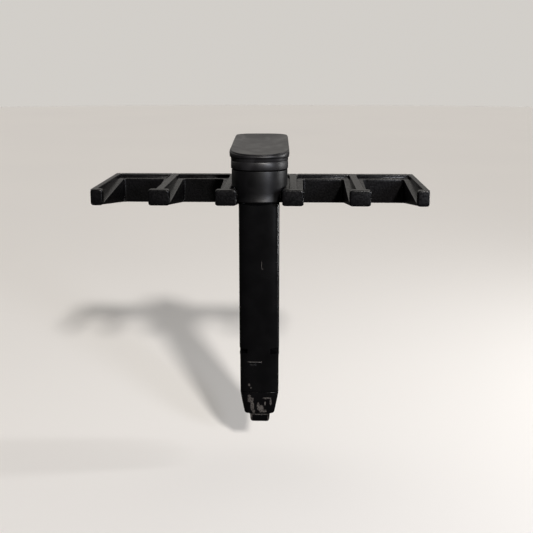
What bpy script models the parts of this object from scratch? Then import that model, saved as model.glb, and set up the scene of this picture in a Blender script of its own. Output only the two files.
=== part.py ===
"""Pegboard storage rack: a slotted back plate, six bracket arms that make five cells, six
pegs that hold it to a pegboard, and one solid display blank that hangs in the middle cell.

Frame: metres, +Z up, +Y into the wall. The origin is the centre of the plate's back face,
which bears on the board, and the arms reach out along -Y.
"""

from math import cos, pi, radians, sin

import bmesh
import bpy
from mathutils import Matrix

# ---- the gap that every pair of touching pieces keeps ----
GAP = 0.0003

# ---- the pegboard that the rack fits ----
HOLE_PITCH = 0.0254
HOLE_HEIGHT = 0.00115            # of the row of holes, above the plate's middle
PEG_RADIUS = 0.00295

# ---- the rack ----
CELLS = 5
CELL_PITCH = 0.0314
END_MARGIN = 0.0007              # how far the rack reaches past the end arms' middles
RACK_WIDTH = CELLS * CELL_PITCH + 2 * END_MARGIN
PLATE_HEIGHT = 0.0141
PLATE_TOP = PLATE_HEIGHT / 2
SHEET_DEPTH = 0.005              # the thin upper part of the plate
PLATE_DEPTH = 0.010              # the thick lower part, whose top is the cells' seat
ARM_REACH = 0.0645               # from the board to the front of the end flange
RAIL_WIDTH = 0.0036
FLANGE_DEPTH = 0.0035
FLANGE_HALF_WIDTH = 0.005
FLANGE_BOTTOM = -0.0006
FLANGE_ROUND = 0.0015            # from above
FLANGE_CORNER = 0.0012           # from the front
LEDGE_HALF_WIDTH = 0.005
LEDGE_BACK_HEIGHT = 0.00535
LEDGE_FRONT_HEIGHT = 0.00075
ROOT_FILLET = 0.0013
TAIL_BOTTOM = 0.0048             # the tail lies in an open notch in the plate's top
SEAT_RUN = ARM_REACH - FLANGE_DEPTH - PLATE_DEPTH

# ---- the pegs ----
TENON_RADIUS = 0.0020
TENON_LENGTH = 0.0045
RECESS_DEPTH = 0.0010            # round each peg's shoulder, in the plate's back
PIN_LENGTH = 0.0090
NOSE_LENGTH = 0.0016             # half of it is hidden in the shank, half is tapered
NOSE_SCALE = 0.72
HOOK_LENGTH = 0.0106
TOE_RADIUS = 0.0021              # the hook's upright toe, which catches behind the board
TOE_FROM_BOARD = 0.0080
TOE_HEIGHT = 0.0041
TOE_SCALE = 0.8
ROUND_SIDES = 24

# ---- the display blank, whose own frame stands between the arms ----
BLANK_FROM_BOARD = 0.0375
BLANK_OFFSET = -0.0005           # it hangs loosely, a little left of the cell's middle
NARROWING = 0.10                 # every outline is this much narrower at its back
CAP_FRONT = -0.0220
CAP_BACK = 0.0230
CAP_FRONT_HEIGHT = 0.0230
CAP_BACK_HEIGHT = 0.0295
LIP_HEIGHT = 0.0208              # where the bead round the cap's top begins
LIP_HALF_WIDTH = 0.0148
CAP_HALF_WIDTH = 0.0142
CAP_FRONT_BULGE = 0.0135
CAP_BACK_BULGE = 0.0050
CAP_FRONT_SQUARENESS = 0.95      # 1 is an ellipse, and less is squarer
CAP_BACK_SQUARENESS = 0.62
COLLAR_HALF_WIDTH = 0.0139
PART_LINE = 0.0152               # where the cap meets the collar
RING_BOTTOM = 0.0187
RING_TOP = 0.0195
RING_DEPTH = 0.0002
SHOULDER_TOP = 0.0074            # the shoulder slants down between the rails
SHOULDER_BOTTOM = 0.0052
NECK_HALF_WIDTH = 0.0101
NECK_BOTTOM = -0.0002
BODY_HALF_WIDTH = 0.0099
BODY_FRONT = -0.0185
BODY_BACK = 0.0180
BODY_BULGE = 0.0043
BODY_SQUARENESS = 0.55
BODY_BOTTOM = -0.0956
TAPER_BOTTOM = -0.1073
TAPER_SCALE = 0.76
TAPER_DEPTH_SCALE = 0.88
TIP_BOTTOM = -0.1121
TIP_HALF_WIDTH = 0.0053
TIP_FRONT = -0.0168
TIP_BACK = 0.0060
MARK_TOP = -0.0734
MARK_BOTTOM = -0.0756
MARK_WIDTH = 0.0040
MARK_DEPTH = 0.0034
OVERLAP = 0.0010                 # of shapes that are joined into one solid

BLACK = (0.012, 0.012, 0.013, 1.0)
SOFT_BLACK = (0.020, 0.020, 0.021, 1.0)
CAP_BLACK = (0.030, 0.030, 0.032, 1.0)


# ---- scene set-up ----

def clear_scene():
    for old in list(bpy.data.objects):
        bpy.data.objects.remove(old, do_unlink=True)


def new_collection(name):
    collection = bpy.data.collections.new(name)
    bpy.context.scene.collection.children.link(collection)
    return collection


def plastic(name, colour, roughness):
    material = bpy.data.materials.new(name)
    material.use_nodes = True
    shader = material.node_tree.nodes["Principled BSDF"]
    shader.inputs["Base Color"].default_value = colour
    shader.inputs["Roughness"].default_value = roughness
    shader.inputs["Metallic"].default_value = 0.0
    return material


# ---- outlines ----

def arc(centre_x, centre_y, radius, start, end, steps=6):
    """Points along a circle, from angle start to angle end."""
    angles = [start + (end - start) * i / steps for i in range(steps + 1)]
    return [(centre_x + radius * cos(a), centre_y + radius * sin(a)) for a in angles]


def rounded_end(half_width, shoulder, reach, squareness, steps=14):
    """The end of a long outline: it leaves the sides at shoulder and bulges by reach."""
    points = []
    for i in range(steps + 1):
        angle = pi * i / steps
        side = 1 if cos(angle) >= 0 else -1
        across = side * half_width * abs(cos(angle)) ** squareness
        points.append((across, shoulder + reach * abs(sin(angle)) ** squareness))
    return points


def long_outline(half_width, front, back, front_end, back_end):
    """A long outline from above: two bulging ends, and sides that close in to the back.
    Each end is given as how far it bulges and how square it is."""
    front_bulge, front_squareness = front_end
    back_bulge, back_squareness = back_end
    behind = rounded_end(half_width, back - back_bulge, back_bulge, back_squareness)
    ahead = rounded_end(half_width, front + front_bulge, -front_bulge, front_squareness)
    outline = []
    for x, y in behind + ahead[::-1]:
        outline.append((x * (1 - NARROWING * (y - front) / (back - front)), y))
    return outline


def cap_outline(half_width):
    grow = half_width - CAP_HALF_WIDTH
    return long_outline(half_width, CAP_FRONT - grow, CAP_BACK + grow,
                        (CAP_FRONT_BULGE, CAP_FRONT_SQUARENESS),
                        (CAP_BACK_BULGE, CAP_BACK_SQUARENESS))


def body_outline():
    end = (BODY_BULGE, BODY_SQUARENESS)
    return long_outline(BODY_HALF_WIDTH, BODY_FRONT, BODY_BACK, end, end)


# ---- solids ----

PLAN = Matrix.Identity(4)                                        # outline in X and Y
SIDE = Matrix(((0, 0, 1, 0), (1, 0, 0, 0), (0, 1, 0, 0), (0, 0, 0, 1)))   # in Y and Z
FACE = Matrix(((1, 0, 0, 0), (0, 0, -1, 0), (0, 1, 0, 0), (0, 0, 0, 1)))  # in X and Z


def mesh_of(source, name):
    """A plain mesh object from a curve object, with its caps welded on."""
    bpy.context.view_layer.update()
    evaluated = source.evaluated_get(bpy.context.evaluated_depsgraph_get())
    mesh = bpy.data.meshes.new_from_object(evaluated)
    shape = bmesh.new()
    shape.from_mesh(mesh)
    bmesh.ops.remove_doubles(shape, verts=shape.verts, dist=1e-6)
    bmesh.ops.recalc_face_normals(shape, faces=shape.faces)
    shape.to_mesh(mesh)
    shape.free()
    result = bpy.data.objects.new(name, mesh)
    result.matrix_world = source.matrix_world
    bpy.data.objects.remove(source, do_unlink=True)
    return result


def slab(name, outline, low, high, plane=PLAN):
    """A flat outline made solid, from low to high across its plane."""
    curve = bpy.data.curves.new(name, "CURVE")
    curve.dimensions = "2D"
    curve.fill_mode = "BOTH"
    curve.extrude = (high - low) / 2
    spline = curve.splines.new("POLY")
    spline.points.add(len(outline) - 1)
    for point, (x, y) in zip(spline.points, outline):
        point.co = (x, y, 0, 1)
    spline.use_cyclic_u = True
    drawn = bpy.data.objects.new(name + "_outline", curve)
    bpy.context.scene.collection.objects.link(drawn)
    result = mesh_of(drawn, name)
    result.data.transform(plane @ Matrix.Translation((0, 0, (low + high) / 2)))
    return result


def block(name, low, high):
    """A box from its low corner to its high corner."""
    shape = bmesh.new()
    bmesh.ops.create_cube(shape, size=1)
    size = [b - a for a, b in zip(low, high)]
    middle = [(a + b) / 2 for a, b in zip(low, high)]
    bmesh.ops.scale(shape, vec=size, verts=shape.verts)
    bmesh.ops.translate(shape, vec=middle, verts=shape.verts)
    mesh = bpy.data.meshes.new(name)
    shape.to_mesh(mesh)
    shape.free()
    return bpy.data.objects.new(name, mesh)


def rod(name, radius, low, high):
    """A cylinder along Y, from low to high."""
    shape = bmesh.new()
    bmesh.ops.create_cone(shape, cap_ends=True, segments=ROUND_SIDES,
                          radius1=radius, radius2=radius, depth=high - low)
    bmesh.ops.rotate(shape, matrix=Matrix.Rotation(-pi / 2, 3, "X"), verts=shape.verts)
    bmesh.ops.translate(shape, vec=(0, (low + high) / 2, 0), verts=shape.verts)
    mesh = bpy.data.meshes.new(name)
    shape.to_mesh(mesh)
    shape.free()
    return bpy.data.objects.new(name, mesh)


def combine(target, tool, operation):
    """Joins, cuts or trims target with tool, which becomes a hidden helper."""
    CUTTERS.objects.link(tool)
    tool.hide_render = True
    tool.display_type = "WIRE"
    tool.parent = target
    step = target.modifiers.new(operation.lower(), "BOOLEAN")
    step.operation = operation
    step.solver = "EXACT"
    step.object = tool


def finish(part, material, place=(0, 0, 0), parent=None, smooth=False):
    """Puts a finished piece in the rack's collection, in its place and material."""
    PARTS.objects.link(part)
    part.data.materials.clear()
    part.data.materials.append(material)
    part.location = place
    part.parent = parent
    if smooth:
        part.data.shade_smooth()
        part.data.set_sharp_from_angle(angle=radians(35))
    return part


# ---- the rack's pieces ----

def arm_places():
    """The six arms' middles across the rack."""
    return [CELL_PITCH * (i - CELLS / 2) for i in range(CELLS + 1)]


def trimmed_side(index):
    """The side on which an end arm is cut short: -1 left, 1 right, 0 for a whole arm."""
    return {0: -1, CELLS: 1}.get(index, 0)


def span(index, half_width):
    """How far a feature of an arm reaches to the left and right of the arm's middle."""
    side = trimmed_side(index)
    left = -END_MARGIN if side < 0 else -half_width
    right = END_MARGIN if side > 0 else half_width
    return left, right


def back_plate():
    outline = [(0, -PLATE_TOP), (0, PLATE_TOP), (-SHEET_DEPTH, PLATE_TOP),
               (-SHEET_DEPTH, LEDGE_BACK_HEIGHT), (-PLATE_DEPTH, LEDGE_BACK_HEIGHT),
               (-PLATE_DEPTH, -PLATE_TOP)]
    plate = slab("back_plate", outline, -RACK_WIDTH / 2, RACK_WIDTH / 2, SIDE)
    for index, place in enumerate(arm_places()):
        side = trimmed_side(index)
        left, right = span(index, RAIL_WIDTH / 2)
        left = -PLATE_DEPTH if side < 0 else left - GAP
        right = PLATE_DEPTH if side > 0 else right + GAP
        notch = block(f"notch_{index + 1}",
                      (place + left, -2 * PLATE_DEPTH, TAIL_BOTTOM - GAP),
                      (place + right, PLATE_DEPTH, 2 * PLATE_TOP))
        combine(plate, notch, "DIFFERENCE")
    for index, place in enumerate(peg_places()):
        recess = rod(f"recess_{index + 1}", PEG_RADIUS + GAP, -RECESS_DEPTH, PEG_RADIUS)
        socket = rod(f"socket_{index + 1}", TENON_RADIUS + GAP, -TENON_LENGTH - GAP, 0)
        for cutter in (recess, socket):
            cutter.location = (place, 0, HOLE_HEIGHT)
            combine(plate, cutter, "DIFFERENCE")
    return finish(plate, RACK_PLASTIC)


def gusset_outline():
    """The ledge from above: parallel sides that flare out in a fillet at the plate."""
    root = -PLATE_DEPTH - GAP
    edge = LEDGE_HALF_WIDTH + ROOT_FILLET
    right = arc(edge, root - ROOT_FILLET, ROOT_FILLET, pi / 2, pi, 4)
    left = [(-x, y) for x, y in reversed(right)]
    front = -ARM_REACH + FLANGE_DEPTH / 2
    return right + [(LEDGE_HALF_WIDTH, front), (-LEDGE_HALF_WIDTH, front)] + left


def flange_plan(left, right):
    """The end flange from above, with its two front edges rounded."""
    front, back, turn = -ARM_REACH, -ARM_REACH + FLANGE_DEPTH, FLANGE_ROUND
    ahead = arc(right - turn, front + turn, turn, 0, -pi / 2)
    behind = arc(left + turn, front + turn, turn, -pi / 2, -pi)
    return [(right, back)] + ahead + behind + [(left, back)]


def flange_face(left, right):
    """The end flange from the front, with its four corners rounded."""
    low, high, turn = FLANGE_BOTTOM, PLATE_TOP, FLANGE_CORNER
    centres = ((right, high, 0), (left, high, 1), (left, low, 2), (right, low, 3))
    outline = []
    for x, z, quarter in centres:
        middle_x = x - turn if x == right else x + turn
        middle_z = z - turn if z == high else z + turn
        outline += arc(middle_x, middle_z, turn, quarter * pi / 2, (quarter + 1) * pi / 2)
    return outline


def ledge_height(y):
    """The height of the sloping ledge at a distance y in front of the board."""
    fall = (LEDGE_BACK_HEIGHT - LEDGE_FRONT_HEIGHT) / SEAT_RUN
    return LEDGE_BACK_HEIGHT + (y + PLATE_DEPTH) * fall


def underside_height(y):
    """The height of the gusset's rising underside at y."""
    rise = (FLANGE_BOTTOM + PLATE_TOP) / SEAT_RUN
    return -PLATE_TOP - (y + PLATE_DEPTH) * rise


def gusset_profile():
    """The gusset from the side: deep at the plate, shallow at the flange."""
    back, front = -PLATE_DEPTH / 2, -ARM_REACH
    return [(back, underside_height(back)), (back, ledge_height(back)),
            (front, ledge_height(front)), (front, underside_height(front))]


def arm(index):
    """One bracket arm: sloping ledge, upright rail with its tail, and end flange."""
    name = f"arm_{index + 1}"
    piece = slab(name, gusset_outline(), -2 * PLATE_TOP, 2 * PLATE_TOP)
    wedge = slab(f"{name}_wedge", gusset_profile(), -PLATE_DEPTH, PLATE_DEPTH, SIDE)
    combine(piece, wedge, "INTERSECT")
    left, right = span(index, FLANGE_HALF_WIDTH)
    flange = slab(f"{name}_flange", flange_plan(left, right), 2 * FLANGE_BOTTOM, 2 * PLATE_TOP)
    corners = slab(f"{name}_corners", flange_face(left, right), 0, 2 * ARM_REACH, FACE)
    combine(flange, corners, "INTERSECT")
    combine(piece, flange, "UNION")
    rail = block(f"{name}_rail", (-RAIL_WIDTH / 2, -ARM_REACH + FLANGE_DEPTH / 2, FLANGE_BOTTOM / 2),
                 (RAIL_WIDTH / 2, -PLATE_DEPTH - GAP, PLATE_TOP))
    combine(piece, rail, "UNION")
    tail = block(f"{name}_tail", (-RAIL_WIDTH / 2, -2 * PLATE_DEPTH, TAIL_BOTTOM),
                 (RAIL_WIDTH / 2, 0, PLATE_TOP))
    combine(piece, tail, "UNION")
    side = trimmed_side(index)
    if side:
        inner, outer = side * END_MARGIN, side * 4 * LEDGE_HALF_WIDTH
        waste = block(f"{name}_waste", (min(inner, outer), -2 * ARM_REACH, -ARM_REACH),
                      (max(inner, outer), ARM_REACH, ARM_REACH))
        combine(piece, waste, "DIFFERENCE")
    return piece


def peg_places():
    """The board's holes that lie behind the rack, three each side of its middle."""
    return [HOLE_PITCH * (i - 2.5) for i in range(6)]


def straight_pin(name, length=PIN_LENGTH):
    """A plain peg: a tenon that sits in the plate and a chamfered shank behind it."""
    pin = rod(name, PEG_RADIUS, GAP - RECESS_DEPTH, length - NOSE_LENGTH / 2)
    nose = rod(f"{name}_nose", PEG_RADIUS, 0, NOSE_LENGTH)
    for vertex in nose.data.vertices:
        if vertex.co.y > NOSE_LENGTH / 2:
            vertex.co.x *= NOSE_SCALE
            vertex.co.z *= NOSE_SCALE
    nose.location = (0, length - NOSE_LENGTH, 0)
    combine(pin, nose, "UNION")
    combine(pin, rod(f"{name}_tenon", TENON_RADIUS, -TENON_LENGTH, length / 2), "UNION")
    return pin


def hook_peg(name):
    """A longer peg with an upright toe behind the board, so the rack can't tip forwards."""
    peg = straight_pin(name, HOOK_LENGTH)
    toe = rod(f"{name}_toe", TOE_RADIUS, 0, TOE_HEIGHT)
    for vertex in toe.data.vertices:
        if vertex.co.y > TOE_HEIGHT / 2:
            vertex.co.x *= TOE_SCALE
            vertex.co.z *= TOE_SCALE
    toe.data.transform(Matrix.Translation((0, TOE_FROM_BOARD, 0)) @ Matrix.Rotation(pi / 2, 4, "X"))
    combine(peg, toe, "UNION")
    return peg


# ---- the display blank's pieces, all solid ----

def blank_frame():
    """An empty on the line that the blank lifts along, level with the board's face."""
    empty = bpy.data.objects.new("blank_lift", None)
    PARTS.objects.link(empty)
    empty.location = (BLANK_OFFSET, -BLANK_FROM_BOARD, 0)
    return empty


def draw_down(part, depth, reshape):
    """Extends a piece's underside down to depth; reshape moves each X and Y of its outline."""
    shape = bmesh.new()
    shape.from_mesh(part.data)
    base = min(vertex.co.z for vertex in shape.verts)
    under = [face for face in shape.faces if all(v.co.z < base + 1e-6 for v in face.verts)]
    drawn = bmesh.ops.extrude_face_region(shape, geom=under)["geom"]
    for vertex in (item for item in drawn if isinstance(item, bmesh.types.BMVert)):
        vertex.co = (*reshape(vertex.co.x, vertex.co.y), depth)
    bmesh.ops.delete(shape, geom=under, context="FACES")
    bmesh.ops.recalc_face_normals(shape, faces=shape.faces)
    shape.to_mesh(part.data)
    shape.free()


def necked(x, y):
    """A point of the collar's outline, brought in to the neck's flat sides."""
    return max(-NECK_HALF_WIDTH, min(NECK_HALF_WIDTH, x)), y


def tapered(x, y):
    """A point of the body's outline, drawn in towards the middle of the body's front."""
    return x * TAPER_SCALE, BODY_FRONT + (y - BODY_FRONT) * TAPER_DEPTH_SCALE


def blank_cap():
    """The wide cap: a ringed wall, a bead round its top and a top that slopes forwards."""
    top = 2 * CAP_BACK_HEIGHT
    cap = slab("blank_cap", cap_outline(CAP_HALF_WIDTH - RING_DEPTH), PART_LINE + OVERLAP, top)
    lower = slab("cap_lower_band", cap_outline(CAP_HALF_WIDTH), PART_LINE, RING_BOTTOM)
    upper = slab("cap_upper_band", cap_outline(CAP_HALF_WIDTH), RING_TOP, LIP_HEIGHT + OVERLAP)
    bead = slab("cap_bead", cap_outline(LIP_HALF_WIDTH), LIP_HEIGHT, 2 * top)
    for band in (lower, upper, bead):
        combine(cap, band, "UNION")
    slope = (CAP_BACK_HEIGHT - CAP_FRONT_HEIGHT) / (CAP_BACK - CAP_FRONT)
    front, back = 2 * CAP_FRONT, 2 * CAP_BACK
    above = [(front, CAP_FRONT_HEIGHT + slope * (front - CAP_FRONT)), (front, 4 * top),
             (back, 4 * top), (back, CAP_BACK_HEIGHT + slope * (back - CAP_BACK))]
    combine(cap, slab("cap_above", above, CAP_FRONT, -CAP_FRONT, SIDE), "DIFFERENCE")
    return cap


def blank_collar():
    """The collar under the cap: its slanting shoulders lie on the rails' inner edges."""
    collar = slab("blank_collar", cap_outline(COLLAR_HALF_WIDTH), SHOULDER_TOP, PART_LINE - GAP)
    draw_down(collar, SHOULDER_BOTTOM, necked)
    draw_down(collar, NECK_BOTTOM, necked)
    return collar


def blank_body():
    """The long solid body, with a shallow mark across each of its front edges."""
    body = slab("blank_body", body_outline(), BODY_BOTTOM, NECK_BOTTOM - GAP)
    for side, word in ((-1, "left"), (1, "right")):
        inner = side * (BODY_HALF_WIDTH - MARK_WIDTH)
        outer = side * 2 * BODY_HALF_WIDTH
        mark = block(f"mark_{word}", (min(inner, outer), 2 * BODY_FRONT, MARK_BOTTOM),
                     (max(inner, outer), BODY_FRONT + MARK_DEPTH, MARK_TOP))
        combine(body, mark, "DIFFERENCE")
    return body


def blank_tip():
    """The tapering end below the body, with a small solid nose."""
    tip = slab("blank_tip", body_outline(), BODY_BOTTOM - 2 * GAP, BODY_BOTTOM - GAP)
    draw_down(tip, TAPER_BOTTOM, tapered)
    nose = block("tip_nose", (-TIP_HALF_WIDTH, TIP_FRONT, TIP_BOTTOM),
                 (TIP_HALF_WIDTH, TIP_BACK, TAPER_BOTTOM + 2 * OVERLAP))
    combine(tip, nose, "UNION")
    return tip


clear_scene()
PARTS = new_collection("pegboard_storage_rack")
CUTTERS = new_collection("cutters")
RACK_PLASTIC = plastic("rack_plastic", BLACK, 0.55)
PEG_PLASTIC = plastic("peg_plastic", BLACK, 0.5)
CAP_PLASTIC = plastic("cap_plastic", CAP_BLACK, 0.6)
BODY_PLASTIC = plastic("body_plastic", SOFT_BLACK, 0.45)

back_plate()
for number, middle in enumerate(arm_places()):
    finish(arm(number), RACK_PLASTIC, (middle, 0, 0))
for number, middle in enumerate(peg_places()):
    make = hook_peg if number in (0, 5) else straight_pin
    kind = "hook_peg" if number in (0, 5) else "straight_pin"
    finish(make(f"{kind}_{number + 1}"), PEG_PLASTIC, (middle, 0, HOLE_HEIGHT), smooth=True)
lift_line = blank_frame()
finish(blank_cap(), CAP_PLASTIC, parent=lift_line, smooth=True)
finish(blank_collar(), BODY_PLASTIC, parent=lift_line, smooth=True)
finish(blank_body(), BODY_PLASTIC, parent=lift_line, smooth=True)
finish(blank_tip(), BODY_PLASTIC, parent=lift_line, smooth=True)
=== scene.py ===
# %% [markdown]
# # A pegboard storage rack with one display blank
# This lesson dresses a small black rack that was 3-D printed to hang on a pegboard. It
# has a back plate, six bracket arms that make five cells, six pegs, and one solid blank
# that hangs in the middle cell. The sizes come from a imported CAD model, the frame, so
# every piece here is made straight at its real place, in metres, and nothing is fitted
# by eye afterwards.

# %% Load the frame
from math import atan2, cos, hypot, pi, radians, sin

import bmesh
import bpy
from mathutils import Euler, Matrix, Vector


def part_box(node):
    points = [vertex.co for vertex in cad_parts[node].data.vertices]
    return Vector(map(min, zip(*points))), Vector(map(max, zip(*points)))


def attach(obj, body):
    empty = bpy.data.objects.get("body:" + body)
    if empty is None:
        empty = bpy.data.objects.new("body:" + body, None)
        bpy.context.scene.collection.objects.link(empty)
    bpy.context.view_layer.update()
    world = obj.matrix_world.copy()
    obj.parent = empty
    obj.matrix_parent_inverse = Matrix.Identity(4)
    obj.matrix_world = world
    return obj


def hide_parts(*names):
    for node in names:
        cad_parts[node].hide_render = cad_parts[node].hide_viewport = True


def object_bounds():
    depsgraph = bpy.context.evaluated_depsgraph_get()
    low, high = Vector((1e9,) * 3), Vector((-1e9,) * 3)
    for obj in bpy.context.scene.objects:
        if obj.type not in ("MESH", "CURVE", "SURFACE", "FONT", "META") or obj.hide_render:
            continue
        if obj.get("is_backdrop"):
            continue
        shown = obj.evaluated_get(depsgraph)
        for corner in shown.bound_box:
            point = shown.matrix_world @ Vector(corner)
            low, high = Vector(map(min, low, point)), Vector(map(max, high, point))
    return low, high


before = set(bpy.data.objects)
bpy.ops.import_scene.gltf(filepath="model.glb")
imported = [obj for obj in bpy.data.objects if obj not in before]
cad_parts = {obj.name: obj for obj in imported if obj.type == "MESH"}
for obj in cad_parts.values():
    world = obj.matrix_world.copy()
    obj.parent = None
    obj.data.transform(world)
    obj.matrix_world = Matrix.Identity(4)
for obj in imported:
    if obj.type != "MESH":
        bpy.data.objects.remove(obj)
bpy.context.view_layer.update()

print("CAD nodes:", sorted(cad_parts))

# %% [markdown]
# ## Sizes
# A maker keeps the drawing's sizes in one place. Most are read from the CAD nodes'
# boxes, so that they can't drift away from the CAD model. The rest are what the boxes
# don't tell, such as how far an edge is rounded by the nozzle of the printer.

# %% Sizes of the rack
MM = 0.001
plate_low, plate_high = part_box("back_plate")
arm_low, arm_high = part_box("arm_2")


def middle_of(node):
    low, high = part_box(node)
    return (low.x + high.x) / 2


CELLS = 5
PITCH = (middle_of("arm_5") - middle_of("arm_2")) / (CELLS - 2)
END_MARGIN = plate_high.x - middle_of("arm_5") - PITCH      # beyond the end arms' middles
PLATE_TOP = plate_high.z
PLATE_BOTTOM = plate_low.z
PLATE_FRONT = plate_low.y
ARM_FRONT = arm_low.y
FLANGE_BOTTOM = -0.6 * MM
FLANGE_DEPTH = 3.5 * MM
LEDGE_HALF = 5.0 * MM
RAIL_HALF = 1.8 * MM
LEDGE_BACK = 5.35 * MM          # the ledge's height at the plate
LEDGE_FRONT = 0.75 * MM         # and where it would reach the flange's front
TAIL_BOTTOM = 4.8 * MM
ROOT_FILLET = 1.3 * MM
HAIRLINE = 0.05 * MM            # what is left of the gap between two printed pieces
arm_places = [PITCH * (i - CELLS / 2) for i in range(CELLS + 1)]
print("cell pitch", round(PITCH / MM, 2), "mm; arm reach", round(-ARM_FRONT / MM, 2), "mm")

# %% [markdown]
# ## Skins from rings
# Nearly every piece of this object is a long shape whose outline changes slowly, so one
# helper covers most of them: it draws closed rings of points, joins each ring to the
# next with four-sided faces and closes both ends. Rings that lie close together near an
# edge make that edge round, and the round is what catches the light on black plastic.

# %% Helpers that make a mesh
SHARP_ANGLE = radians(38)        # edges that turn more than this stay crisp
MERGE = 0.002 * MM               # points closer than this become one


def softened(corners, cuts, steps=4):
    """A flat outline whose corners are each rounded off over the given distance."""
    outline = []
    for i, (x, y) in enumerate(corners):
        before, after = corners[i - 1], corners[(i + 1) % len(corners)]
        ways = []
        for ox, oy in (before, after):
            long = hypot(ox - x, oy - y) or 1
            ways.append(((ox - x) / long * cuts[i], (oy - y) / long * cuts[i]))
        for k in range(steps + 1):
            t = k / steps
            outline.append((x + ways[0][0] * (1 - t) ** 2 + ways[1][0] * t ** 2,
                            y + ways[0][1] * (1 - t) ** 2 + ways[1][1] * t ** 2))
    return outline


def skin(shape, rings):
    """Joins rings of points into one closed skin inside a bmesh."""
    rows = [[shape.verts.new(point) for point in ring] for ring in rings]
    count = len(rows[0])
    for lower, upper in zip(rows, rows[1:]):
        for i in range(count):
            j = (i + 1) % count
            shape.faces.new((lower[i], lower[j], upper[j], upper[i]))
    shape.faces.new(rows[0][::-1])
    shape.faces.new(rows[-1])


def shaded(mesh):
    """Smooth shading with crisp edges."""
    mesh.shade_smooth()
    mesh.set_sharp_from_angle(angle=SHARP_ANGLE)


def mesh_object(name, shape):
    """A smooth-shaded mesh object from a bmesh, with its faces turned outwards."""
    bmesh.ops.remove_doubles(shape, verts=shape.verts, dist=MERGE)
    bmesh.ops.dissolve_degenerate(shape, edges=shape.edges, dist=MERGE)
    bmesh.ops.recalc_face_normals(shape, faces=shape.faces)
    mesh = bpy.data.meshes.new(name)
    shape.to_mesh(mesh)
    shape.free()
    piece = bpy.data.objects.new(name, mesh)
    bpy.context.scene.collection.objects.link(piece)
    shaded(mesh)
    return piece


def plain(piece):
    """Turns the result of a piece's modifiers into its plain mesh."""
    bpy.context.view_layer.update()
    ready = piece.evaluated_get(bpy.context.evaluated_depsgraph_get())
    mesh = bpy.data.meshes.new_from_object(ready)
    piece.modifiers.clear()
    piece.data = mesh
    return piece


def fit(piece, material, body, slot, *nodes):
    """Gives a finished piece its material and its body, and hides and prints the CAD nodes it
    stands for.
    """
    if not piece.data.materials:
        piece.data.materials.append(material)
    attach(piece, body)
    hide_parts(*nodes)
    print(f"{piece.name}: {len(piece.data.polygons)} faces, stands for {', '.join(nodes)}")
    return piece


# %% [markdown]
# ## Colours and nodes
# A colour picked on a screen is in sRGB, and a shader wants linear light, so one
# function turns the one into the other. One more adds a node to a tree, with its
# settings and its links, which keeps each material as short as a recipe.

# %% Colour and node helpers
def linear(code):
    """An sRGB hex colour as linear red, green, blue and alpha."""
    values = [int(code[i:i + 2], 16) / 255 for i in (1, 3, 5)]
    return [v / 12.92 if v <= 0.04045 else ((v + 0.055) / 1.055) ** 2.4 for v in values] + [1]


def add(tree, kind, inputs=None, **settings):
    """Adds a node; a node given as an input is linked by its first output."""
    node = tree.nodes.new(kind)
    for key, value in settings.items():
        setattr(node, key, value)
    for key, value in (inputs or {}).items():
        if isinstance(value, bpy.types.Node):
            value = value.outputs[0]
        if isinstance(value, bpy.types.NodeSocket):
            tree.links.new(value, node.inputs[key])
        else:
            node.inputs[key].default_value = value
    return node


def new_material(name):
    """An empty material, its tree, and the piece's own coordinates in metres."""
    material = bpy.data.materials.new(name)
    material.use_nodes = True
    tree = material.node_tree
    tree.nodes.clear()
    place = add(tree, "ShaderNodeTexCoord").outputs["Object"]
    return material, tree, place


def per_mm(size):
    """The texture scale that gives a pattern one feature every size millimetres."""
    return 1 / (size * MM)


def ramp(tree, value, low, high, result=(0, 1)):
    """How far value has come from low to high, as a smooth number."""
    return add(tree, "ShaderNodeMapRange", {"Value": value, "From Min": low, "From Max": high,
               "To Min": result[0], "To Max": result[1]}, interpolation_type="SMOOTHSTEP")


print("black filament in linear light:", [round(v, 4) for v in linear("#0d0d0e")])

# %% [markdown]
# ## Printed PLA
# The rack is polylactic acid, PLA, laid down by a 0.4 mm nozzle. Black PLA has a soft
# sheen. Each layer is a low rounded ridge, and the faces have a fine pebbled grain that
# breaks a highlight into sparks. Layers of 0.2 mm are too fine to show, so they are
# drawn 0.6 mm apart. The grain is a noise of 0.9 mm with a finer one over it.

# %% Material: printed PLA
LAYER = 0.6                      # mm, drawn three layers thick, so that it shows
WAVE_UNIT = 2 * pi / 20          # a wave texture repeats every 20 / 2 pi of its scale


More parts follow.
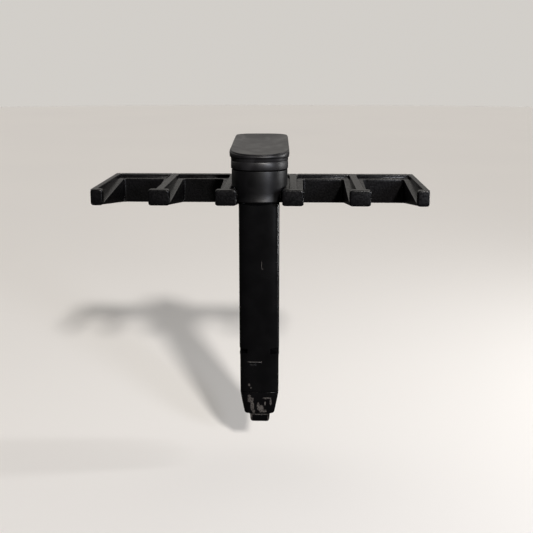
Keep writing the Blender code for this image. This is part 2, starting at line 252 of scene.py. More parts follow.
def printed_pla(name):
    material, tree, place = new_material(name)
    grain = add(tree, "ShaderNodeTexNoise", {"Vector": place, "Scale": per_mm(0.9),
                "Detail": 3, "Roughness": 0.6})
    fine = add(tree, "ShaderNodeTexNoise", {"Vector": place, "Scale": per_mm(0.35), "Detail": 2})
    cloud = add(tree, "ShaderNodeTexNoise", {"Vector": place, "Scale": per_mm(11), "Detail": 2})
    layers = add(tree, "ShaderNodeTexWave", {"Vector": place, "Scale": WAVE_UNIT * per_mm(LAYER),
                 "Distortion": 0.35, "Detail": 1, "Detail Scale": 0.6},
                 bands_direction="Z")
    ridges = add(tree, "ShaderNodeBump", {"Height": layers, "Strength": 0.35,
                 "Distance": 0.03 * MM})
    pebbles = add(tree, "ShaderNodeBump", {"Height": grain, "Normal": ridges, "Strength": 0.75,
                  "Distance": 0.07 * MM})
    sparks = add(tree, "ShaderNodeBump", {"Height": fine, "Normal": pebbles, "Strength": 0.5,
                 "Distance": 0.03 * MM})
    tint = add(tree, "ShaderNodeMix", {0: ramp(tree, cloud, 0.35, 0.7),
               6: linear("#060607"), 7: linear("#0b0a0c")}, data_type="RGBA")
    dust = add(tree, "ShaderNodeMix", {0: ramp(tree, fine, 0.66, 0.8, (0, 0.25)),
               6: tint.outputs[2], 7: linear("#343230")}, data_type="RGBA")
    gloss = ramp(tree, grain, 0.3, 0.75, (0.24, 0.38))
    shader = add(tree, "ShaderNodeBsdfPrincipled", {"Base Color": dust.outputs[2],
                 "Roughness": gloss, "Normal": sparks, "IOR": 1.46,
                 "Specular IOR Level": 0.34})
    add(tree, "ShaderNodeOutputMaterial", {"Surface": shader})
    return material


rack_pla = printed_pla("printed black PLA")
print("made", rack_pla.name)

# %% [markdown]
# ## The back plate
# The plate is an L seen from its end: a thin upper sheet that lies on the board, and a
# thick lower part whose top is the cells' seat. Its shape in the CAD model is right, but
# its edges are knife-sharp, and a printed edge never is. So a copy of the CAD mesh is
# merged, its flat faces are joined up again, and a Bevel modifier rounds the edges by
# a quarter of a millimetre.

# %% Back plate
def rounded_copy(node, width):
    """A merged copy of a CAD node with its sharp edges bevelled."""
    shape = bmesh.new()
    shape.from_mesh(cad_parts[node].data)
    bmesh.ops.remove_doubles(shape, verts=shape.verts, dist=0.001 * MM)
    bmesh.ops.dissolve_limit(shape, angle_limit=radians(1), verts=shape.verts,
                             edges=shape.edges)
    piece = mesh_object(node + "_finished", shape)
    bevel = piece.modifiers.new("printed edge", "BEVEL")
    bevel.width = width
    bevel.segments = 3
    bevel.limit_method = "ANGLE"
    bevel.angle_limit = radians(40)
    bevel.use_clamp_overlap = False
    return plain(piece)


PRINTED_EDGE = 0.25 * MM
fit(rounded_copy("back_plate", PRINTED_EDGE), rack_pla, "rack", "rack_plastic", "back_plate")

# %% [markdown]
# ## The arms
# Each arm is an upside-down T that gets shallower towards its end: a rail that stands
# upright between two cells, a sloping ledge on each side, and a rounded block, the end
# flange, that stops a stored thing from sliding off. At the plate the ledge flares out
# in a fillet. The two end arms have only their inner half. Each is three skins in one
# mesh, because the real one is one print and its parts simply run into each other.

# %% Arm shapes
SEAT_RUN = -ARM_FRONT - FLANGE_DEPTH + PLATE_FRONT
arm_root = PLATE_FRONT - HAIRLINE
LEDGE_SUNK = 0.12 * MM           # the smooth ledge lies this far below its steps
RAIL_SUNK = 0.10 * MM            # and the smooth rail below its lines
RAIL_FOOT = 0.2 * MM             # the rail starts inside the ledge
TAIL_EXTRA = 0.24 * MM           # the rail's tail fills its notch in the plate
FLANGE_TURN = 0.7 * MM           # how softly the flange's front turns to its sides
FLANGE_CORNER = 1.5 * MM
BACK_EDGE = 0.25 * MM
CURVE_STEPS = 6


def ledge_height(y):
    """The height of the ledge's top at a distance y."""
    return LEDGE_BACK + (y - PLATE_FRONT) * (LEDGE_BACK - LEDGE_FRONT) / SEAT_RUN


def underside_height(y):
    """The height of the arm's underside at a distance y."""
    return PLATE_BOTTOM - (y - PLATE_FRONT) * (FLANGE_BOTTOM - PLATE_BOTTOM) / SEAT_RUN


def reach_of(index, half):
    """How far a feature of that half width goes to the left and right of an arm."""
    left = -END_MARGIN if index == 0 else -half
    right = END_MARGIN if index == CELLS else half
    return left, right


def across(outline, y, middle):
    """A flat outline in X and Z, stood up at a distance y along the arm."""
    return [(middle + x, y, z) for x, z in outline]


def ledge_rings(index):
    middle = arm_places[index]
    stations = [(arm_root - ROOT_FILLET * (1 - sin(t)), ROOT_FILLET * (1 + cos(t)))
                for t in [pi / 2 + pi / 2 * k / CURVE_STEPS for k in range(CURVE_STEPS + 1)]]
    stations.append((ARM_FRONT + FLANGE_DEPTH / 2, 0))
    rings = []
    for y, flare in stations:
        left, right = reach_of(index, LEDGE_HALF + flare)
        low, high = underside_height(y), ledge_height(y) - LEDGE_SUNK
        corners = [(right, low), (right, high), (left, high), (left, low)]
        rings.append(across(softened(corners, [0.4 * MM] * 4), y, middle))
    return rings


def rail_rings(index):
    middle = arm_places[index]
    stations = ((ARM_FRONT + 0.4 * FLANGE_DEPTH, RAIL_FOOT, 0), (arm_root, RAIL_FOOT, 0),
                (arm_root, TAIL_BOTTOM, TAIL_EXTRA), (-HAIRLINE, TAIL_BOTTOM, TAIL_EXTRA))
    high = PLATE_TOP - RAIL_SUNK
    rings = []
    for y, low, wider in stations:
        left, right = reach_of(index, RAIL_HALF + wider)
        corners = [(right, low), (right, high), (left, high), (left, low)]
        cuts = [0.1 * MM, 0.35 * MM, 0.35 * MM, 0.1 * MM]
        rings.append(across(softened(corners, cuts), y, middle))
    return rings


def flange_rings(index):
    middle = arm_places[index]
    left, right = reach_of(index, LEDGE_HALF)
    stations = [(ARM_FRONT + FLANGE_TURN * (1 - sin(t)), FLANGE_TURN * (1 - cos(t)))
                for t in [pi / 2 * (1 - k / CURVE_STEPS) for k in range(CURVE_STEPS + 1)]]
    stations += [(ARM_FRONT + FLANGE_DEPTH - BACK_EDGE, 0), (ARM_FRONT + FLANGE_DEPTH, BACK_EDGE)]
    rings = []
    for y, inset in stations:
        low, high = FLANGE_BOTTOM + inset, PLATE_TOP - inset
        corners = [(right - inset, low), (right - inset, high),
                   (left + inset, high), (left + inset, low)]
        cuts = [FLANGE_CORNER - 0.5 * inset] * 4
        rings.append(across(softened(corners, cuts, CURVE_STEPS), y, middle))
    return rings


# %% Six arms
def arm(index):
    """Ledge, rail and flange as three skins in one mesh."""
    shape = bmesh.new()
    for rings in (ledge_rings(index), rail_rings(index), flange_rings(index)):
        skin(shape, rings)
    return mesh_object(f"arm_{index + 1}_finished", shape)


arms = [arm(index) for index in range(CELLS + 1)]
print("arms:", [len(piece.data.polygons) for piece in arms])

# %% [markdown]
# ## Layer steps and nozzle lines
# A printer can't lay a slope: the ledges are really small stairs, one 0.2 mm layer high
# and about 2 mm long, and they catch the light as fine ticks. The rails' tops are flat,
# and show the side-by-side lines of the nozzle instead. Both repeat by a rule, so one
# Geometry Nodes tree makes them: it sets bars in a row between two points, and realises
# them. The bars are low and round-topped, and lie half sunk in the surface.

# %% Geometry Nodes tree: a row of bars
def bar_row_tree():
    tree = bpy.data.node_groups.new("row of bars", "GeometryNodeTree")
    face = tree.interface
    face.new_socket("Geometry", in_out="OUTPUT", socket_type="NodeSocketGeometry")
    for name, kind in (("Count", "NodeSocketInt"), ("Start", "NodeSocketVector"),
                       ("Step", "NodeSocketVector"), ("Bar size", "NodeSocketVector"),
                       ("Material", "NodeSocketMaterial")):
        face.new_socket(name, in_out="INPUT", socket_type=kind)
    given = tree.nodes.new("NodeGroupInput").outputs
    row = add(tree, "GeometryNodeMeshLine", {"Count": given["Count"],
              "Start Location": given["Start"], "Offset": given["Step"]}, mode="OFFSET")
    bar = add(tree, "GeometryNodeMeshCylinder", {"Vertices": 12, "Radius": 0.5, "Depth": 1.0})
    flat = add(tree, "GeometryNodeTransform", {"Geometry": bar, "Rotation": (0, pi / 2, 0)})
    sized = add(tree, "GeometryNodeTransform", {"Geometry": flat, "Scale": given["Bar size"]})
    set_out = add(tree, "GeometryNodeInstanceOnPoints", {"Points": row, "Instance": sized})
    solid = add(tree, "GeometryNodeRealizeInstances", {"Geometry": set_out})
    painted = add(tree, "GeometryNodeSetMaterial", {"Geometry": solid,
                  "Material": given["Material"]})
    add(tree, "NodeGroupOutput", {"Geometry": painted})
    return tree


def made_by(tree, name, **values):
    """A plain mesh from a Geometry Nodes tree with these inputs."""
    piece = bpy.data.objects.new(name, bpy.data.meshes.new(name))
    bpy.context.scene.collection.objects.link(piece)
    step = piece.modifiers.new(name, "NODES")
    step.node_group = tree
    sockets = {item.name: item.identifier for item in tree.interface.items_tree
               if item.in_out == "INPUT"}
    for key, value in values.items():
        step[sockets[key.replace("_", " ")]] = value
    return plain(piece)


bar_row = bar_row_tree()
print("tree:", bar_row.name, "with", len(bar_row.nodes), "nodes")

# %% Ledge steps and rail lines on every arm
STEP_COUNT = 23                  # layers of 0.2 mm in the ledge's fall of 4.6 mm
STEP_THICK = 0.40 * MM           # a bar's height; about a tenth of it stands out
STEP_SUNK = 0.21 * MM
STEP_OVERLAP = 1.02
LINE_SPACING = 0.72 * MM         # a nozzle's line is 0.45 mm wide, drawn wider to show
LINE_THICK = 0.30 * MM
LINE_SUNK = 0.16 * MM
LINE_WIDTH = 0.98                # as a share of the spacing
EDGE_GAP = 0.35 * MM             # the steps end before the ledge's rounded edge
RAIL_OVERLAP = 0.1 * MM          # and start inside the rail


def ledge_steps(index, side, start_y, run):
    """The row of steps on one side of an arm, or nothing where an end arm has no ledge."""
    left, right = reach_of(index, LEDGE_HALF - EDGE_GAP)
    inner, outer = side * (RAIL_HALF - RAIL_OVERLAP), (left if side < 0 else right)
    if abs(outer) < RAIL_HALF:
        return None
    x, y = arm_places[index] + (inner + outer) / 2, start_y + run / 2
    return made_by(
        bar_row, f"arm_{index + 1}_steps_{'left' if side < 0 else 'right'}",
        Count=STEP_COUNT, Start=(x, y, ledge_height(y) - STEP_SUNK),
        Step=(0, run, run * (LEDGE_BACK - LEDGE_FRONT) / SEAT_RUN),
        Bar_size=(abs(outer - inner), abs(run) * STEP_OVERLAP, STEP_THICK), Material=rack_pla)


def rail_lines(index):
    """The nozzle's lines on a rail's top, made along X and then turned a quarter round."""
    left, right = reach_of(index, RAIL_HALF)
    count = round((right - left - 0.5 * MM) / LINE_SPACING)
    first = arm_places[index] + (left + right) / 2 - (count - 1) * LINE_SPACING / 2
    y_middle = (ARM_FRONT + FLANGE_DEPTH) / 2
    length = abs(ARM_FRONT + FLANGE_DEPTH) - 0.6 * MM
    piece = made_by(
        bar_row, f"arm_{index + 1}_lines", Count=count,
        Start=(y_middle, -first, PLATE_TOP - LINE_SUNK), Step=(0, -LINE_SPACING, 0),
        Bar_size=(length, LINE_SPACING * LINE_WIDTH, LINE_THICK), Material=rack_pla)
    for vertex in piece.data.vertices:
        x, y, z = vertex.co
        vertex.co = (-y, x, z)
    return piece


def surface_bars(index):
    start_y, end_y = arm_root - 0.9 * MM, ARM_FRONT + FLANGE_DEPTH
    run = (end_y - start_y) / STEP_COUNT
    rows = [ledge_steps(index, side, start_y, run) for side in (-1, 1)]
    return [row for row in rows if row] + [rail_lines(index)]


def joined(pieces):
    """The first piece with the meshes of the others added to it."""
    shape = bmesh.new()
    for piece in pieces:
        shape.from_mesh(piece.data)
    shape.to_mesh(pieces[0].data)
    shape.free()
    for piece in pieces[1:]:
        bpy.data.objects.remove(piece)
    return pieces[0]


for index, piece in enumerate(arms):
    piece.data.materials.append(rack_pla)
    joined([piece] + surface_bars(index))
    fit(piece, rack_pla, "rack", "rack_plastic", f"arm_{index + 1}")

# %% [markdown]
# ## The pegs
# Six pegs go through the board's holes. The two outer ones are longer and have an upright
# toe that catches behind the board, so that the rack can't tip forwards. All are round
# rods with a rounded nose, so their rings are circles that follow a line and shrink at
# the end along a quarter circle.

# %% Pegs
PEG_RADIUS = 2.95 * MM
TOE_RADIUS = 2.1 * MM
TOE_FROM_BOARD = 8.0 * MM
PIN_NOSE = 1.2 * MM              # how far back the rounding of an end starts
TOE_NOSE = 0.9 * MM
NOSE_SHRINK = 0.38               # share of the radius that is lost at the very end
PEG_START = 0.7 * MM             # the peg starts inside the plate


def rod_rings(route, radii, sides=40):
    """Circles along a route in Y and Z, square to its direction at every point."""
    rings = []
    for k, (x, y, z) in enumerate(route):
        a, b = route[max(k - 1, 0)], route[min(k + 1, len(route) - 1)]
        angle = atan2(b[2] - a[2], b[1] - a[1])
        rings.append([(x + radii[k] * cos(t), y - radii[k] * sin(t) * sin(angle),
                       z + radii[k] * sin(t) * cos(angle))
                      for t in [2 * pi * i / sides for i in range(sides)]])
    return rings


def nosed(start, way, length, radius, nose):
    """A route of that length and its radii, which shrink to a rounded nose at the end."""
    turns = [pi / 2 * k / CURVE_STEPS for k in range(CURVE_STEPS + 1)]
    along = [0.0] + [length - nose * (1 - sin(t)) for t in turns]
    route = [tuple(Vector(start) + Vector(way) * d) for d in along]
    return route, [radius] + [radius - NOSE_SHRINK * radius * (1 - cos(t)) for t in turns]


def peg(node):
    low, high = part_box(node)
    axis = low.z + PEG_RADIUS
    shape = bmesh.new()
    start = (middle_of(node), -PEG_START, axis)
    length = high.y + 0.69 * MM
    skin(shape, rod_rings(*nosed(start, (0, 1, 0), length, PEG_RADIUS, PIN_NOSE)))
    if node.startswith("hook"):
        foot = (middle_of(node), TOE_FROM_BOARD, axis)
        skin(shape, rod_rings(*nosed(foot, (0, 0, 1), high.z - axis, TOE_RADIUS, TOE_NOSE)))
    return mesh_object(node + "_finished", shape)


for node in sorted(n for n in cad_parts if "peg" in n or "pin" in n):
    fit(peg(node), rack_pla, "rack", "peg_plastic", node)

# %% [markdown]
# ## The display blank's shapes
# The blank hangs upside down in the middle cell, its slanted shoulders on the rails. All
# of it is solid: it only stands in for a stored thing. Seen from above, each part is a
# long outline with bulging ends that is a little narrower at the back, so a superellipse
# gives every ring, and a list of heights and widths gives the profile that the light
# reads: the bead, the groove under the top plate, the part line and the neck.

# %% Blank outlines
BLANK_X = -0.5 * MM              # it hangs a little left of the cell's middle
BLANK_Y = -37.5 * MM
NARROWING = 0.10                 # each outline is this much narrower at its back
RING_STEPS = 40
CAP_HALF = 14.2                  # mm, the cap's plain wall
CAP_FRONT, CAP_BACK = -22.0, 23.0
BODY_HALF = 9.9
BODY_FRONT, BODY_BACK = -18.5, 18.0
CAP_FRONT_END = (13.5 * MM, 0.95)        # bulge and squareness of each end
CAP_BACK_END = (5.0 * MM, 0.62)
BODY_END = (4.3 * MM, 0.55)
NO_LIMIT = 20.0


def bulging_ring(half, front, back, z, front_end, back_end, tilt=0.0):
    """A long ring at height z, whose plane rises backwards by tilt. Each end is given as
    how far it bulges and how square it is: 1 is an ellipse, and less is squarer."""
    points = []
    ends = ((back, back_end, 1), (front, front_end, -1))
    for limit, (bulge, squareness), way in ends:
        shoulder, bulge = limit - way * bulge, way * bulge
        for k in range(RING_STEPS + 1):
            t = pi * (k if way > 0 else RING_STEPS - k) / RING_STEPS
            side = 1 if cos(t) >= 0 else -1
            x = side * half * abs(cos(t)) ** squareness
            y = shoulder + bulge * abs(sin(t)) ** squareness
            x *= 1 - NARROWING * (y - front) / (back - front)
            points.append((BLANK_X + x, BLANK_Y + y, z + tilt * (y - front)))
    return points


def cap_ring(half_mm, z_mm, tilt=0.0):
    """A ring of the cap; a wider one is longer too, by the same amount all round."""
    grow = (half_mm - CAP_HALF) * MM
    return bulging_ring(half_mm * MM, CAP_FRONT * MM - grow, CAP_BACK * MM + grow, z_mm * MM,
                        CAP_FRONT_END, CAP_BACK_END, tilt)


def neck_ring(half_mm, z_mm, limit_mm):
    """A ring of the collar, whose sides are brought in flat to the given half width."""
    limit = limit_mm * MM
    return [(BLANK_X + max(-limit, min(limit, x - BLANK_X)), y, z)
            for x, y, z in cap_ring(half_mm, z_mm)]


def body_ring(half_mm, z_mm, front_mm, back_mm=BODY_BACK):
    return bulging_ring(half_mm * MM, front_mm * MM, back_mm * MM, z_mm * MM,
                        BODY_END, BODY_END)


print("points in a ring:", len(cap_ring(CAP_HALF, 16)))

# %% [markdown]
# ## Moulded nylon and worn coating
# The cap and collar are moulded nylon, matt from the spark-eroded mould: a very fine
# even pebble, drawn about 0.5 mm wide so that it shows. The body is a smoother satin
# black that has been handled: long hair scratches, a few scuffs, and by the tip patches
# where the black has rubbed through to a paler grey. Each patch is an ellipse in the
# piece's own millimetres, with its edge broken up by noise.

# %% Material: moulded nylon
def moulded_nylon(name, shade, sheen_low, sheen_high, shine=0.5):
    material, tree, place = new_material(name)
    pebble = add(tree, "ShaderNodeTexNoise", {"Vector": place, "Scale": per_mm(0.5),
                 "Detail": 3, "Roughness": 0.55})
    smudge = add(tree, "ShaderNodeTexNoise", {"Vector": place, "Scale": per_mm(7), "Detail": 4,
                 "Distortion": 0.6})
    bump = add(tree, "ShaderNodeBump", {"Height": pebble, "Strength": 0.55,
               "Distance": 0.05 * MM})
    waves = add(tree, "ShaderNodeBump", {"Height": smudge, "Normal": bump, "Strength": 0.35,
                "Distance": 0.25 * MM})
    tint = add(tree, "ShaderNodeMix", {0: ramp(tree, smudge, 0.35, 0.68),
               6: linear(shade[0]), 7: linear(shade[1])}, data_type="RGBA")
    gloss = ramp(tree, smudge, 0.3, 0.7, (sheen_low, sheen_high))
    shader = add(tree, "ShaderNodeBsdfPrincipled", {"Base Color": tint.outputs[2],
                 "Roughness": gloss, "Normal": waves, "IOR": 1.53,
                 "Specular IOR Level": shine})
    add(tree, "ShaderNodeOutputMaterial", {"Surface": shader})
    return material


cap_nylon = moulded_nylon("moulded matt nylon", ("#100f11", "#1b1a1c"), 0.40, 0.52)
collar_nylon = moulded_nylon("moulded nylon, handled", ("#060607", "#0a090b"), 0.40, 0.48,
                             shine=0.3)
print("made", cap_nylon.name, "and", collar_nylon.name)

# %% Material: worn satin coating
# Each mark: middle x and z, half width and half height in mm, and turn in degrees.
RUBBED = [(-4.3, -99.7, 1.5, 1.5, -25), (-3.5, -102.8, 0.9, 2.7, -12), (-4.9, -97.8, 0.9, 0.6, 25),
          (-0.4, -103.2, 0.8, 1.9, -8), (0.9, -104.4, 1.3, 1.9, 28), (2.3, -105.6, 1.3, 0.8, -8),
          (4.0, -98.8, 2.2, 0.45, 8), (5.7, -100.9, 0.5, 1.9, -14), (2.9, -101.6, 0.4, 1.1, 20),
          (-2.8, -105.8, 0.6, 1.3, 0), (-5.0, -92.0, 0.5, 0.7, 20), (-4.1, -93.5, 0.35, 0.45, 0),
          (0.2, -108.0, 4.6, 0.3, 0), (-3.9, -110.0, 0.35, 2.0, 4), (4.3, -110.2, 0.25, 1.4, 0)]
SCRATCHES = [(-2.4, -79.9, 3.5, 0.13, 0), (1.0, -79.9, 0.35, 0.28, 0), (-2.8, -81.4, 1.6, 0.04, 2),
             (1.3, -30.6, 0.10, 1.9, 9), (1.7, -32.6, 0.45, 0.10, 40)]


def marks(tree, place, table, edge, wobble):
    """A mask that is 1 in every ellipse of the table, with its edges broken by noise."""
    ragged = add(tree, "ShaderNodeTexNoise", {"Vector": place, "Scale": per_mm(1.3), "Detail": 6,
                 "Roughness": 0.65})
    total = None
    for x, z, half_width, half_height, turn in table:
        centred = add(tree, "ShaderNodeMapping", {"Vector": place,
                      "Location": (-BLANK_X - x * MM, 0, -z * MM)})
        placed = add(tree, "ShaderNodeMapping", {"Vector": centred,
                     "Rotation": (0, radians(turn), 0),
                     "Scale": (1 / (half_width * MM), 0, 1 / (half_height * MM))})
        away = add(tree, "ShaderNodeVectorMath", {0: placed}, operation="LENGTH").outputs["Value"]
        rough = add(tree, "ShaderNodeMath", {0: ragged, 1: wobble, 2: away},
                    operation="MULTIPLY_ADD")
        inside = ramp(tree, rough, 1 + wobble / 2 + edge, 1 + wobble / 2 - edge)
        total = inside if total is None else add(tree, "ShaderNodeMath", {0: total, 1: inside},
                                                 operation="MAXIMUM")
    return total


def worn_satin(name):
    material, tree, place = new_material(name)
    along = add(tree, "ShaderNodeMapping", {"Vector": place,
                "Scale": (per_mm(0.7), per_mm(0.7), per_mm(16))})
    hairs = add(tree, "ShaderNodeTexNoise", {"Vector": along, "Scale": 1.0, "Detail": 3})
    smudge = add(tree, "ShaderNodeTexNoise", {"Vector": place, "Scale": per_mm(9), "Detail": 3})
    speck = add(tree, "ShaderNodeTexNoise", {"Vector": place, "Scale": per_mm(0.6), "Detail": 2})
    rubbed = marks(tree, place, RUBBED, 0.16, 1.5)
    cuts = marks(tree, place, SCRATCHES, 0.25, 0.35)
    front = add(tree, "ShaderNodeSeparateXYZ", {"Vector": place}).outputs["Y"]
    facing = ramp(tree, front, BLANK_Y - 12 * MM, BLANK_Y - 14 * MM)
    grey = add(tree, "ShaderNodeMath", {0: rubbed, 1: ramp(tree, speck, 0.36, 0.60, (0.25, 1))},
               operation="MULTIPLY")
    both = add(tree, "ShaderNodeMath", {0: grey, 1: cuts}, operation="MAXIMUM")
    shown = add(tree, "ShaderNodeMath", {0: both, 1: facing}, operation="MULTIPLY")
    black = add(tree, "ShaderNodeMix", {0: ramp(tree, smudge, 0.35, 0.7),
                6: linear("#060607"), 7: linear("#080809")}, data_type="RGBA")
    tint = add(tree, "ShaderNodeMix", {0: shown, 6: black.outputs[2],
               7: linear("#575350")}, data_type="RGBA")
    gloss = ramp(tree, smudge, 0.3, 0.7, (0.24, 0.28))
    lines = add(tree, "ShaderNodeBump", {"Height": hairs, "Strength": 0.25,
                "Distance": 0.02 * MM})
    dents = add(tree, "ShaderNodeBump", {"Height": shown, "Normal": lines, "Strength": 0.5,
                "Distance": 0.12 * MM}, invert=True)
    shader = add(tree, "ShaderNodeBsdfPrincipled", {"Base Color": tint.outputs[2],
                 "Roughness": gloss, "Normal": dents, "IOR": 1.5,
                 "Specular IOR Level": 0.36})
    add(tree, "ShaderNodeOutputMaterial", {"Surface": shader})
    return material


body_satin = worn_satin("worn satin black coating")
print("made", body_satin.name)

# %% [markdown]
# ## The cap
# The cap is a thick end piece with a flat top plate that slopes down to the front. A
# shallow groove sets the plate off from a rounded bead below it, and the wall below the
# bead has one fine ring. Rings drawn close together round the bead and the groove,
# where a slab with a bevel would give three edges of equal width.

# %% Cap
CAP_RISE = 6.5 / 45              # the top plate's slope, back over front
# Half width and height in mm; the bead's rings also say how much of the slope they take.
wall = [(12.5, 15.25), (13.9, 15.27), (14.12, 15.4), (14.2, 15.65), (14.2, 18.6), (14.15, 18.75),
        (14.08, 18.9), (14.06, 19.1), (14.08, 19.3), (14.15, 19.45), (14.2, 19.6),
        (14.2, 20.6), (14.24, 20.75), (14.42, 20.85)]
bead = [(14.66, 20.98, 0.02), (14.8, 21.25, 0.3), (14.82, 21.6, 0.7), (14.78, 21.9, 0.9),
        (14.68, 22.1, 1), (14.55, 22.2, 1), (14.42, 22.26, 1), (14.34, 22.32, 1),
        (14.36, 22.40, 1), (14.42, 22.48, 1), (14.42, 22.58, 1), (14.36, 22.72, 1),
        (14.22, 22.86, 1), (13.95, 22.94, 1), (13.4, 22.95, 1), (11.0, 22.93, 1), (6.0, 22.90, 1)]
shape = bmesh.new()
skin(shape, [cap_ring(half, z) for half, z in wall] +
     [cap_ring(half, z, CAP_RISE * share) for half, z, share in bead])
fit(mesh_object("blank_cap_finished", shape), cap_nylon, "blank", "cap_plastic", "blank_cap")

# %% [markdown]
# ## The collar
# Below the part line the collar keeps the cap's outline, then slants in between the
# rails to a narrower neck. A thin rim at the neck's foot stands over the body and gives
# the fine light line there.

# %% Collar
# Half width, height and the half width that the sides are brought in to, in mm.
collar_rings = [neck_ring(half, z, limit) for half, z, limit in (
    (12.5, 14.88, NO_LIMIT), (13.6, 14.87, NO_LIMIT), (13.85, 14.75, NO_LIMIT),
    (13.9, 14.5, NO_LIMIT), (13.9, 8.4, NO_LIMIT), (13.9, 7.75, 13.85), (13.9, 7.3, 13.5),
    (13.9, 6.85, 12.9), (13.9, 5.85, 11.3), (13.9, 5.4, 10.6), (13.9, 5.05, 10.25),
    (13.9, 4.5, 10.1), (13.88, 0.8, 10.1), (13.95, 0.65, 10.15), (13.95, 0.3, 10.15),
    (13.85, 0.0, 10.05), (13.6, -0.15, 9.8), (12.5, -0.18, 8.7))]
shape = bmesh.new()
skin(shape, collar_rings)
fit(mesh_object("blank_collar_finished", shape), collar_nylon, "blank", "body_plastic",
    "blank_collar")

# %% [markdown]
# ## The body and the tip
# The body is a long, nearly even bar. Two short slots cross its front corners. A Boolean
# modifier cuts them, because a loft can't make a cut with square ends. Below the slots
# the bar is a little slimmer, and the tip draws it in to a small solid nose.

# %% Body with its two slots
body_profile = [(8.6, -0.45), (9.6, -0.46), (9.82, -0.6), (9.9, -1.0), (9.9, -40.0),
                (9.9, -73.0), (9.86, -76.2), (9.72, -77.2), (9.68, -79.0), (9.66, -90.0),
                (9.62, -95.59)]
BELOW_THE_EDGE = -2              # mm; from here down a narrower ring is also set back
SET_BACK = 0.6


def body_front(half, z):
    return BODY_FRONT + (BODY_HALF - half) * SET_BACK if z < BELOW_THE_EDGE else BODY_FRONT


shape = bmesh.new()
skin(shape, [body_ring(half, z, body_front(half, z)) for half, z in body_profile])
body = mesh_object("blank_body_finished", shape)


# Of each slot, in mm: its inner end, bottom and top there, and the depth it reaches.
SLOTS = {-1: (5.8, -75.6, -73.2, -13.2), 1: (5.25, -75.95, -72.9, -11.5)}
CUTTER_OUTER, CUTTER_FRONT = 13.0, -30.0         # well outside the body
SLOT_CORNER = 0.25


def slot_cutter(side):
    """A small slanted block that crosses one front corner of the body."""
    shape = bmesh.new()
    inner, low, high, depth = SLOTS[side]
    outline = [(inner * side, low), (CUTTER_OUTER * side, low + 0.4),
               (CUTTER_OUTER * side, high + 0.5), (inner * side, high)]
    if side < 0:
        outline.reverse()
    outline = softened(outline, [SLOT_CORNER] * 4, 3)
    skin(shape, [[(BLANK_X + x * MM, BLANK_Y + y * MM, z * MM) for x, z in outline]
                 for y in (CUTTER_FRONT, depth)])
    return mesh_object(f"slot_{'left' if side < 0 else 'right'}", shape)


for side in (-1, 1):
    cutter = slot_cutter(side)
    cut = body.modifiers.new("slot", "BOOLEAN")
    cut.operation = "DIFFERENCE"
    cut.solver = "EXACT"
    cut.object = cutter
    plain(body)
    bpy.data.objects.remove(cutter)
shaded(body.data)
fit(body, body_satin, "blank", "body_plastic", "blank_body")

# %% Tip
# Half width, height, front and back in mm.
tip_rings = [body_ring(half, z, front, back) for half, z, front, back in (
    (9.58, -95.91, -18.4, 18.0), (9.62, -95.96, -18.42, 18.0), (9.62, -96.1, -18.42, 18.0),
    (9.5, -97.2, -18.5, 17.4), (8.9, -100.4, -18.5, 16.3), (8.15, -104.2, -18.5, 14.9),
    (7.7, -106.4, -18.45, 14.0), (7.5, -107.0, -18.3, 13.6), (7.1, -107.28, -17.9, 13.2),
    (6.0, -107.3, -17.0, 12.4))]


NOSE_FRONT, NOSE_BACK = -16.8, 6.0
NOSE_SHIFT = 0.2                 # the nose sits a little right of the body's middle
NOSE_CORNER = 1.1


def nose_ring(half_mm, z_mm, inset):
    front, back = NOSE_FRONT + inset, NOSE_BACK - inset
    corners = [(half_mm, front), (half_mm, back), (-half_mm, back), (-half_mm, front)]
    return [(BLANK_X + (x + NOSE_SHIFT) * MM, BLANK_Y + y * MM, z_mm * MM)
            for x, y in softened(corners, [NOSE_CORNER] * 4, 5)]


shape = bmesh.new()
skin(shape, tip_rings)
skin(shape, [nose_ring(half, z, inset) for half, z, inset in (
    (5.05, -106.0, 0), (4.98, -108.5, 0.02), (4.75, -110.8, 0.12), (4.55, -111.5, 0.3),
    (4.25, -111.9, 0.6), (3.8, -112.06, 1.0), (2.0, -112.08, 2.0))])
fit(mesh_object("blank_tip_finished", shape), body_satin, "blank", "body_plastic", "blank_tip")

# %% [markdown]
# ## Floor, light and camera
# The scene is a plain product shot. The world is brighter behind the rack, where a
# white board would be, because black plastic is drawn by what it reflects. The key lamp
# stands high on the right in front. A small lamp below it brings out the grain, and a
# strip on the right draws the light edges. The floor is pale to the eye but dim to
# every other ray, so that it throws no light up on the black. The camera stands a
# little right of the middle and looks slightly down.

# %% Floor and world
FLOOR_DROP = 22 * MM             # how far the floor lies below the blank's nose
FLOOR_RADIUS = 4                 # metres
EYE_BRIGHTNESS = 0.70            # what the camera sees of the world


def floor(height):
    shape = bmesh.new()
    bmesh.ops.create_circle(shape, cap_ends=True, radius=FLOOR_RADIUS, segments=64)
    bmesh.ops.translate(shape, verts=shape.verts, vec=(0, 0, height))
    ground = mesh_object("floor", shape)
    if ground.data.polygons[0].normal.z < 0:
        ground.data.flip_normals()
    material, tree, place = new_material("pale matt floor")
    cloud = add(tree, "ShaderNodeTexNoise", {"Vector": place, "Scale": per_mm(400)})
    tint = add(tree, "ShaderNodeMix", {0: cloud, 6: linear("#efedeb"), 7: linear("#f3f1ee")},
               data_type="RGBA")
    eye = add(tree, "ShaderNodeLightPath").outputs["Is Camera Ray"]
    dim = add(tree, "ShaderNodeMix", {0: eye, 6: linear("#393836"), 7: tint.outputs[2]},
              data_type="RGBA")
    shader = add(tree, "ShaderNodeBsdfPrincipled", {"Base Color": dim.outputs[2],
                 "Roughness": 0.9, "Specular IOR Level": 0.0})
    add(tree, "ShaderNodeOutputMaterial", {"Surface": shader})
    ground.data.materials.append(material)
    ground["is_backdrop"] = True
    return ground


ground = floor(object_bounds()[0][2] - FLOOR_DROP)

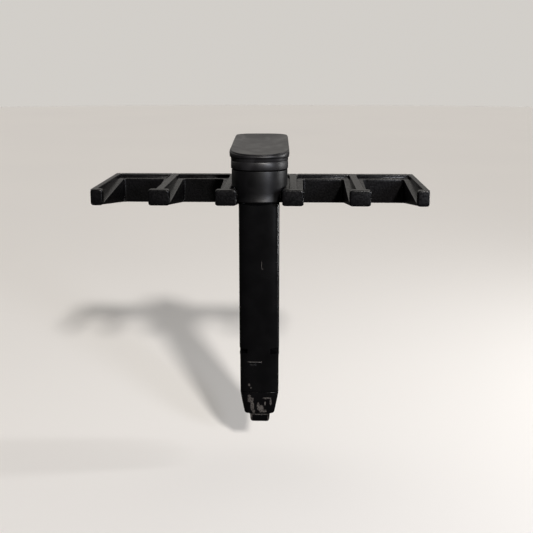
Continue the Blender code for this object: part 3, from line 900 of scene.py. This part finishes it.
world = bpy.data.worlds.new("pale studio")
bpy.context.scene.world = world
world.use_nodes = True
sky = world.node_tree
sky.nodes.clear()


def stretched(value, low, high, result):
    """A straight ramp of the world's direction."""
    return add(sky, "ShaderNodeMapRange", {"Value": value, "From Min": low, "From Max": high,
               "To Min": result[0], "To Max": result[1]})


around = add(sky, "ShaderNodeTexCoord").outputs["Generated"]
way = add(sky, "ShaderNodeSeparateXYZ", {"Vector": around})
behind = stretched(way.outputs["Y"], -0.1, 0.7, (0.005, 1.0))
rising = stretched(way.outputs["Z"], 0.15, 0.55, (0.22, 1.1))
board = add(sky, "ShaderNodeMath", {0: behind, 1: rising}, operation="MULTIPLY")
overhead = stretched(way.outputs["Z"], 0.75, 0.98, (0.0, 0.20))
all_round = add(sky, "ShaderNodeMath", {0: board, 1: overhead}, operation="MAXIMUM")
eye = add(sky, "ShaderNodeLightPath").outputs["Is Camera Ray"]
seen = add(sky, "ShaderNodeMix", {0: eye, 2: all_round, 3: EYE_BRIGHTNESS}, data_type="FLOAT")
glow = add(sky, "ShaderNodeBackground", {"Color": linear("#f6f2ec"),
           "Strength": seen.outputs[0]})
add(sky, "ShaderNodeOutputWorld", {"Surface": glow})
print("floor at", round(ground.data.vertices[0].co.z / MM, 1), "mm")


# %% Lamps
def lamp(name, kind, place, power, tint, aim):
    """A lamp at a place in metres, turned to the point it aims at."""
    light = bpy.data.lights.new(name, kind)
    light.energy = power
    light.color = linear(tint)[:3]
    holder = bpy.data.objects.new(name, light)
    bpy.context.scene.collection.objects.link(holder)
    holder.location = place
    holder.rotation_euler = (Vector(aim) - Vector(place)).to_track_quat("-Z", "Y").to_euler()
    return light


key = lamp("key lamp", "SUN", (0.33, -1.0, 0.57), 2.7, "#fffaf5", (0, 0, 0))
key.angle = radians(5)
side = lamp("side lamp", "AREA", (0.36, -0.62, 0.14), 1.7, "#eef2ff", (0.07, -0.03, 0))
side.shape = "DISK"
side.size = 0.12
strip = lamp("strip lamp", "AREA", (0.55, 0.02, 0.02), 2.0, "#ffffff", (0, -0.03, -0.03))
strip.shape = "RECTANGLE"
strip.size = 0.05
strip.size_y = 0.35
print("lamps:", key.name, side.name, strip.name)

# %% Camera
camera = bpy.data.objects.new("camera", bpy.data.cameras.new("camera"))
bpy.context.scene.collection.objects.link(camera)
bpy.context.scene.camera = camera
LOOKS_DOWN = 12.715              # degrees
TURNED_LEFT = 1.763
camera.location = Vector((16.19, -479.86, 64.37)) * MM
camera.rotation_euler = Euler((radians(90 - LOOKS_DOWN), 0, radians(TURNED_LEFT)), "XYZ")
camera.data.sensor_width = 36
camera.data.lens = 60.7542
camera.data.clip_start = 0.01
camera.data.clip_end = 20
bpy.context.scene.view_settings.view_transform = "Standard"
print("lens", round(camera.data.lens, 2), "mm")
